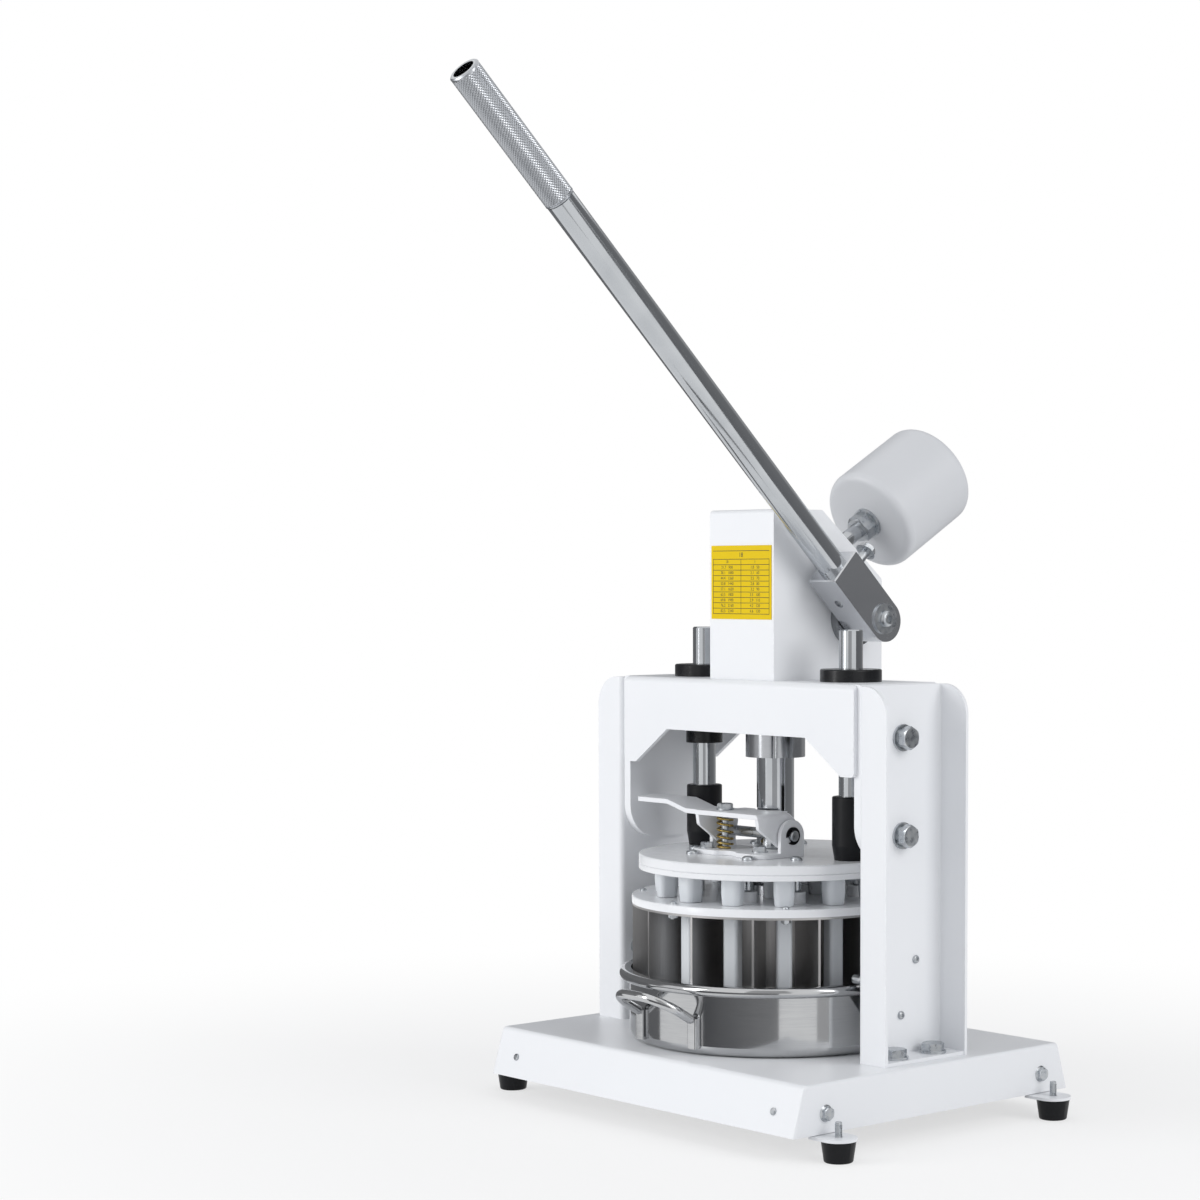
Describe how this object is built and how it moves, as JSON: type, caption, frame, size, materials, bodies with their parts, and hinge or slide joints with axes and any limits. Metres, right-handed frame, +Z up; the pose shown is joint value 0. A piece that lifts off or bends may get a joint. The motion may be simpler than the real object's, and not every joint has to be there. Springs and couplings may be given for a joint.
{
  "type": "manual dough divider",
  "caption": "Lever press that divides dough: white frame with round pan, knife ring with press pads on a guided ram, latch, long chromed lever and counterweight.",
  "frame": {"origin": "on the table plane below the middle of the whole machine's bounding box", "axes": "+X to the operator's right along the front, +Y to the rear, +Z up"},
  "size_m": [0.444, 0.589, 0.832],
  "materials": {
    "white_paint": "white powder coat, satin",
    "white_alloy": "white powder coat on aluminium, satin",
    "zinc_steel": "zinc plated",
    "polished_steel": "polished stainless",
    "chrome": "hard chrome, polished",
    "machined_steel": "machined",
    "black_plastic": "matt",
    "white_plastic": "translucent white, matt",
    "black_rubber": "matt",
    "bronze": "machined",
    "yellow_zinc": "yellow zinc plated",
    "yellow_sheet": "printed sheet"
  },
  "bodies": {
    "frame": {"base_cover": "white_paint", "base_rivets": "zinc_steel", "foot_brackets": "white_paint", "rubber_feet": "black_rubber", "foot_studs": "zinc_steel", "foot_bolts": "zinc_steel", "right_column": "white_paint", "left_column": "white_paint", "column_bolts": "zinc_steel", "pan_guides": "zinc_steel", "pan_guide_screws": "zinc_steel", "crosshead": "white_paint", "crosshead_bolts": "zinc_steel", "tower_housing": "white_paint", "division_chart": "yellow_sheet", "pivot_bearings": "machined_steel", "shaft_guide": "machined_steel", "crosshead_screws": "zinc_steel", "guide_bushes": "black_plastic"},
    "lever": {"lever_block": "polished_steel", "handle_tube": "chrome", "handle_grip": "chrome", "handle_screws": "zinc_steel", "pivot_shaft": "machined_steel", "pivot_screw": "zinc_steel", "pivot_collar": "machined_steel", "bell_crank": "machined_steel", "crank_key": "machined_steel", "crank_pin": "machined_steel", "counterweight_rod": "zinc_steel", "counterweight": "white_paint", "counterweight_nut": "zinc_steel"},
    "ram": {"ram_shaft": "chrome", "drive_yoke": "machined_steel", "knife_plate": "white_alloy", "knife_carrier": "polished_steel", "outer_blades": "polished_steel", "knife_ring": "polished_steel", "knife_cross": "polished_steel", "knife_hub": "machined_steel", "shaft_bolt": "zinc_steel", "knife_screws": "zinc_steel"},
    "press_head": {"press_plate": "white_alloy", "backing_plate": "white_alloy", "press_bush": "bronze", "outer_pads": "white_plastic", "inner_pads": "white_plastic", "press_screws": "zinc_steel", "guide_rods": "chrome", "rod_boots": "black_rubber", "latch_bracket": "white_paint", "bracket_bolts": "zinc_steel", "latch_pin": "zinc_steel", "latch_clips": "machined_steel", "latch_spring": "yellow_zinc", "spring_bolt": "zinc_steel"},
    "latch": {"latch_lever": "white_paint"},
    "pan": {"dough_pan": "polished_steel", "pan_handle": "polished_steel"}
  },
  "joints": [
    {"name": "lever_pivot", "type": "hinge", "parent": "frame", "child": "lever", "pos_m": [0, 0.13571, 0.4174], "axis": [1, 0, 0], "range_deg": [0, 35.2]},
    {"name": "ram_slide", "type": "slide", "parent": "frame", "child": "ram", "axis": [0, 0, -1], "range_m": [0, 0.039]},
    {"name": "press_slide", "type": "slide", "parent": "ram", "child": "press_head", "axis": [0, 0, 1], "range_m": [0, 0.03]},
    {"name": "latch_hinge", "type": "hinge", "parent": "press_head", "child": "latch", "pos_m": [0, 0.06321, 0.2356], "axis": [1, 0, 0], "range_deg": [0, 7], "stiffness_Nm_per_rad": 0.5, "springref_deg": -45.84, "deforming": ["latch_spring"]},
    {"name": "pan_turn", "type": "hinge", "parent": "frame", "child": "pan", "pos_m": [0, 0.08521, 0.0603], "axis": [0, 0, 1], "range_deg": [-45, 45]}
  ],
  "couplings": [
    {"joint": "ram_slide", "follows": "lever_pivot", "m_per_rad": 0.0635}
  ]
}
